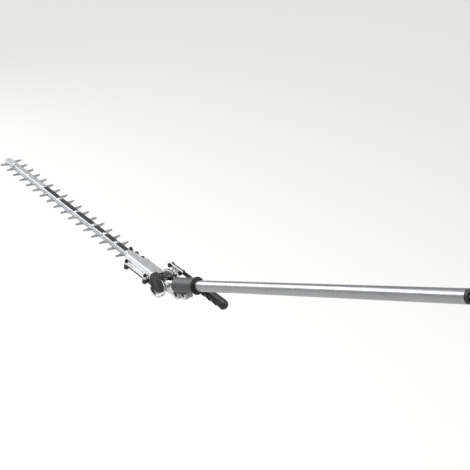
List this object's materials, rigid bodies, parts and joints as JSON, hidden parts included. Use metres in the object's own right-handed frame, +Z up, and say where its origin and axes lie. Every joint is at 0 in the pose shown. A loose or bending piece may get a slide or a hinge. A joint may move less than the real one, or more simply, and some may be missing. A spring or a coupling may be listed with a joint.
{
  "type": "pole hedge trimmer attachment",
  "caption": "Pole hedge trimmer attachment: drive tube with a tilting gear head, a double-sided reciprocating cutter bar and a side adjusting handle.",
  "frame": {"origin": "centre of the open end of the drive tube, where the power unit's socket takes it", "axes": "+X from the tip of the level cutter bar towards the user, +Y to the side that carries the adjusting handle, +Z up, with the tube rising 30 degrees towards the user"},
  "size_m": [1.4467, 0.0797, 0.4551],
  "materials": {
    "satin_aluminium": "satin, drawn tube",
    "cast_aluminium": "die cast, fine shot-blasted",
    "blade_steel": "hardened, ground and lightly oiled",
    "plated_steel": "zinc plated, satin",
    "dark_steel": "black oxide",
    "coated_casting": "dark grey powder coat, semi-matt",
    "black_plastic": "moulded nylon, fine texture",
    "black_rubber": "matt moulded rubber",
    "bronze": "sintered"
  },
  "bodies": {
    "shaft": {"shaft_tube": "satin_aluminium", "end_sleeve": "black_plastic", "end_bush": "bronze", "liner_bushes": "black_rubber", "neck_casting": "cast_aluminium", "neck_bearings": "plated_steel", "clamp_collar": "coated_casting", "clamp_screws": "plated_steel", "clamp_nuts": "plated_steel", "collar_ring": "black_rubber", "hinge_pins": "plated_steel", "lever_pin": "plated_steel"},
    "drive_line": {"drive_shaft": "plated_steel", "input_bevel": "blade_steel"},
    "lock_lever": {"lock_lever": "dark_steel"},
    "lock_button": {"lock_button": "black_plastic"},
    "cross_gear": {"cross_bevel": "blade_steel"},
    "output_train": {"output_shaft": "blade_steel", "output_bevel": "blade_steel", "crank_pinion": "blade_steel"},
    "crank": {"crank_gear": "blade_steel"},
    "upper_knife": {"upper_knife": "blade_steel"},
    "lower_knife": {"lower_knife": "blade_steel"},
    "head": {"index_quadrant": "plated_steel", "cheek_left": "cast_aluminium", "cheek_right": "cast_aluminium", "joint_seal": "black_rubber", "joint_cover": "black_plastic", "gear_shroud": "black_plastic", "guide_bar": "plated_steel", "tip_plate": "plated_steel", "wear_strips": "black_plastic", "bar_bolts": "plated_steel", "bolt_sleeves": "plated_steel", "bar_washers": "plated_steel", "bar_nuts": "plated_steel", "gear_case_upper": "cast_aluminium", "gear_case_lower": "coated_casting", "case_screws": "dark_steel", "grease_nipples": "plated_steel", "output_bearings": "plated_steel", "crank_bearing": "plated_steel", "handle_bracket": "cast_aluminium", "handle_arm": "dark_steel", "bracket_bolts": "dark_steel", "handle_grip": "black_plastic"}
  },
  "joints": [
    {"name": "head_tilt", "type": "hinge", "parent": "shaft", "child": "head", "pos_m": [-0.70321, 0, -0.406], "axis": [0, 1, 0], "range_deg": [-120, 15]},
    {"name": "drive_spin", "type": "hinge", "parent": "shaft", "child": "drive_line", "pos_m": [-0.70321, 0, -0.406], "axis": [0.866, 0, 0.5], "continuous": true},
    {"name": "cross_spin", "type": "hinge", "parent": "shaft", "child": "cross_gear", "pos_m": [-0.70321, 0, -0.406], "axis": [0, 1, 0], "continuous": true},
    {"name": "output_spin", "type": "hinge", "parent": "head", "child": "output_train", "pos_m": [-0.70321, 0, -0.406], "axis": [1, 0, 0], "continuous": true},
    {"name": "crank_spin", "type": "hinge", "parent": "head", "child": "crank", "pos_m": [-0.80121, 0, -0.406], "axis": [0, 0, 1], "continuous": true},
    {"name": "upper_knife_stroke", "type": "slide", "parent": "head", "child": "upper_knife", "axis": [1, 0, 0], "range_m": [-0.00875, 0.00875]},
    {"name": "lower_knife_stroke", "type": "slide", "parent": "head", "child": "lower_knife", "axis": [1, 0, 0], "range_m": [-0.00875, 0.00875]},
    {"name": "lever_lift", "type": "hinge", "parent": "shaft", "child": "lock_lever", "pos_m": [-0.68213, 0, -0.37651], "axis": [0, 1, 0], "range_deg": [0, 15], "stiffness_Nm_per_rad": 0.4, "springref_deg": -11.46},
    {"name": "button_press", "type": "slide", "parent": "shaft", "child": "lock_button", "axis": [-0.5, 0, 0.866], "range_m": [-0.0035, 0], "stiffness_N_per_m": 600, "springref_m": 0.001}
  ],
  "couplings": [
    {"joint": "cross_spin", "follows": "drive_spin", "ratio": -0.61111},
    {"joint": "output_spin", "follows": "drive_spin", "ratio": -1},
    {"joint": "crank_spin", "follows": "drive_spin", "ratio": 0.35714},
    {"joint": "lower_knife_stroke", "follows": "upper_knife_stroke", "ratio": -1}
  ]
}
